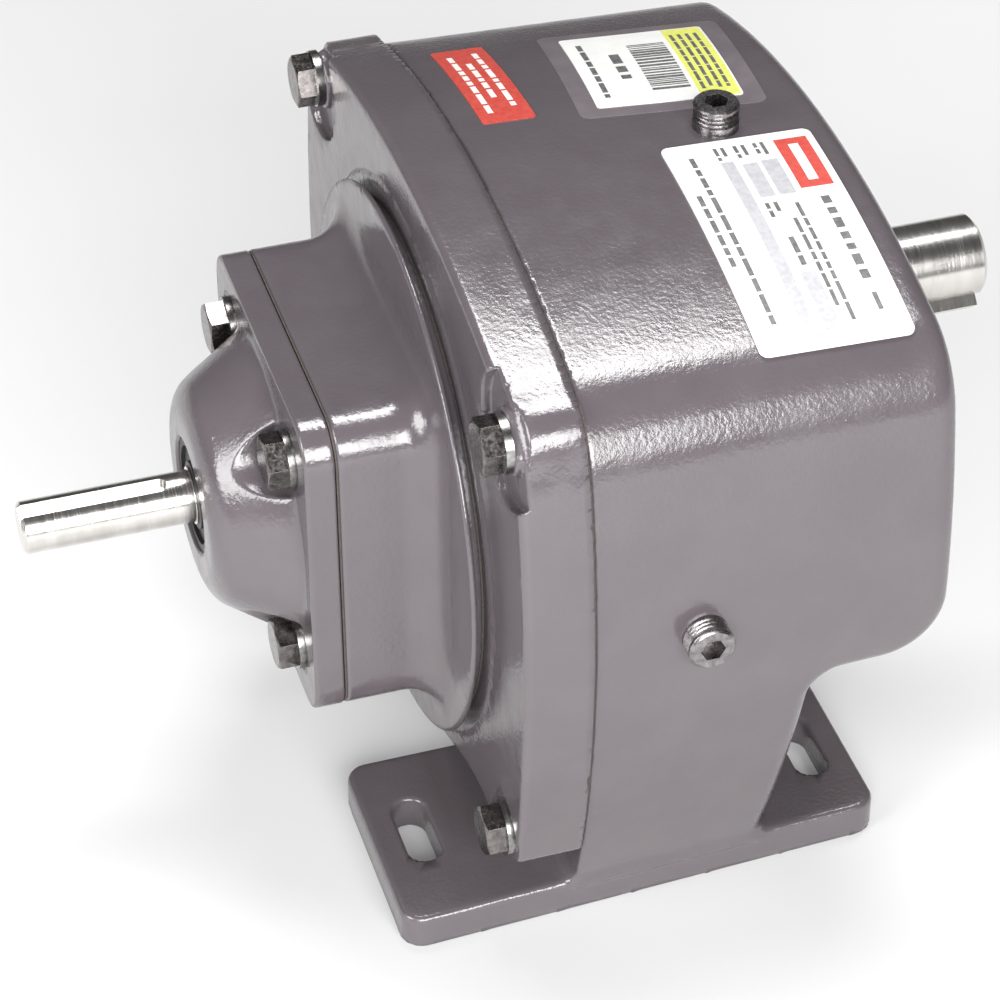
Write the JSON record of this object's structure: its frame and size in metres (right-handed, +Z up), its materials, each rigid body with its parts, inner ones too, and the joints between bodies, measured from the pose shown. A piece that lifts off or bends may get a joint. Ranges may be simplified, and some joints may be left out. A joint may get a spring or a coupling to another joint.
{
  "type": "inline gear reducer",
  "caption": "Foot-mounted inline gear reducer: a keyed input shaft drives a slower keyed output shaft through an enclosed gear train.",
  "frame": {"origin": "on the mounting plane, midway between the two front foot slots", "axes": "+X runs from the input end to the output end, +Z is up, away from the mounting plane"},
  "size_m": [0.2982, 0.237, 0.21],
  "materials": {
    "casting_paint": "glossy grey enamel with orange peel over cast iron",
    "gasket_paper": "compressed paper",
    "fastener_steel": "dull zinc and oil-blackened steel",
    "seal_rubber": "matt black nitrile",
    "plate_aluminium": "white printed plate with a red panel",
    "red_label": "semi-gloss film",
    "white_label": "semi-gloss film with a yellow panel",
    "cage_brass": "pressed brass",
    "ground_steel": "bright ground",
    "gear_steel": "oiled cut steel",
    "bearing_steel": "polished"
  },
  "bodies": {
    "housing": {"main_housing": "casting_paint", "front_cover": "casting_paint", "cover_gasket": "gasket_paper", "input_neck": "casting_paint", "neck_gasket": "gasket_paper", "neck_screws": "fastener_steel", "bearing_cap": "casting_paint", "cap_gasket": "gasket_paper", "cap_bolts": "fastener_steel", "cap_washers": "fastener_steel", "cover_bolts": "fastener_steel", "cover_washers": "fastener_steel", "dowel_pins": "ground_steel", "input_seal": "seal_rubber", "output_seal": "seal_rubber", "fill_plug": "fastener_steel", "level_plug": "fastener_steel", "drain_plug": "fastener_steel", "nameplate": "plate_aluminium", "oil_label": "red_label", "stock_label": "white_label", "input_bearing_outer_rings": "bearing_steel", "intermediate_bearing_outer_rings": "bearing_steel", "output_bearing_outer_rings": "bearing_steel", "hub_retaining_ring": "fastener_steel"},
    "input_spindle": {"input_shaft": "ground_steel", "input_pinion": "gear_steel", "pinion_retaining_ring": "fastener_steel", "input_bearing_inner_rings": "bearing_steel", "input_bearing_balls": "bearing_steel", "input_bearing_cages": "cage_brass"},
    "intermediate_spindle": {"intermediate_shaft": "gear_steel", "intermediate_gear": "gear_steel", "intermediate_key": "fastener_steel", "intermediate_spacer": "ground_steel", "intermediate_bearing_inner_rings": "bearing_steel", "intermediate_bearing_balls": "bearing_steel", "intermediate_bearing_cages": "cage_brass"},
    "output_spindle": {"output_shaft": "ground_steel", "output_gear": "gear_steel", "output_gear_key": "fastener_steel", "gear_retaining_ring": "fastener_steel", "output_spacer": "ground_steel", "output_key": "ground_steel", "output_bearing_inner_rings": "bearing_steel", "output_bearing_balls": "bearing_steel", "output_bearing_cages": "cage_brass"}
  },
  "joints": [
    {"name": "output_spin", "type": "hinge", "parent": "housing", "child": "output_spindle", "pos_m": [0.1, 0, 0.1386], "axis": [1, 0, 0], "continuous": true},
    {"name": "intermediate_spin", "type": "hinge", "parent": "housing", "child": "intermediate_spindle", "pos_m": [0.1, 0.05532, 0.10846], "axis": [1, 0, 0], "continuous": true},
    {"name": "input_spin", "type": "hinge", "parent": "housing", "child": "input_spindle", "pos_m": [0, 0, 0.104], "axis": [1, 0, 0], "continuous": true}
  ],
  "couplings": [
    {"joint": "intermediate_spin", "follows": "output_spin", "ratio": -4.1429},
    {"joint": "input_spin", "follows": "output_spin", "ratio": 17.755}
  ]
}
